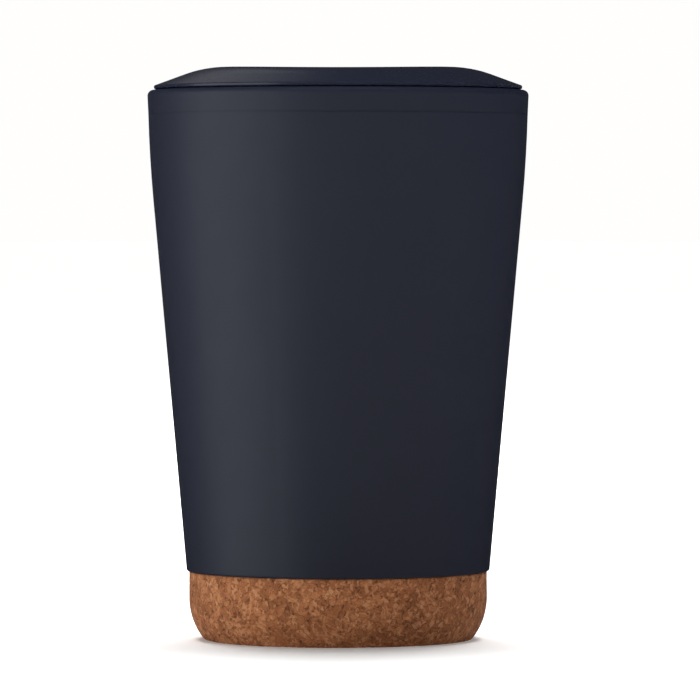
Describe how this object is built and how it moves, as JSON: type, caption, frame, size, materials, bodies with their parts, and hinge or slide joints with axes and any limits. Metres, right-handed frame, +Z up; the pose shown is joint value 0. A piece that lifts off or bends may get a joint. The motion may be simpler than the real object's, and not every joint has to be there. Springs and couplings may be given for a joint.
{
  "type": "travel tumbler",
  "caption": "Rigid tapered double-wall steel travel tumbler with a glued cork base and a press-on drinking lid, whose sip hole is shut by a slider.",
  "frame": {"origin": "centre of the cork base's underside, the face that the cup rests on", "axes": "+Z up along the cup's axis, -Y towards the drinking side of the lid, +X to the right when the cup is seen from its drinking side"},
  "size_m": [0.0798, 0.0798, 0.12],
  "materials": {
    "navy_coat": "matte",
    "steel": "satin",
    "navy_plastic": "satin",
    "plug_plastic": "satin",
    "silicone": "matte",
    "cork": "matte",
    "glue": "satin",
    "seal_glass": "gloss",
    "getter": "matte"
  },
  "bodies": {
    "cup": {"outer_wall": "navy_coat", "inner_wall": "steel", "inner_floor": "steel", "base_plate": "steel", "seal_bead": "seal_glass", "getter_tablet": "getter", "base_glue": "glue", "cork_base": "cork"},
    "lid": {"lid_cover": "navy_plastic", "lid_plug": "plug_plastic", "lid_gasket": "silicone"},
    "slider": {"slider": "navy_plastic", "slider_seal": "silicone"}
  },
  "joints": [
    {"name": "lid_lift", "type": "slide", "parent": "cup", "child": "lid", "axis": [0, 0, 1], "range_m": [0, 0.04]},
    {"name": "slider_slide", "type": "slide", "parent": "lid", "child": "slider", "axis": [0, 1, 0], "range_m": [0, 0.0125]}
  ]
}
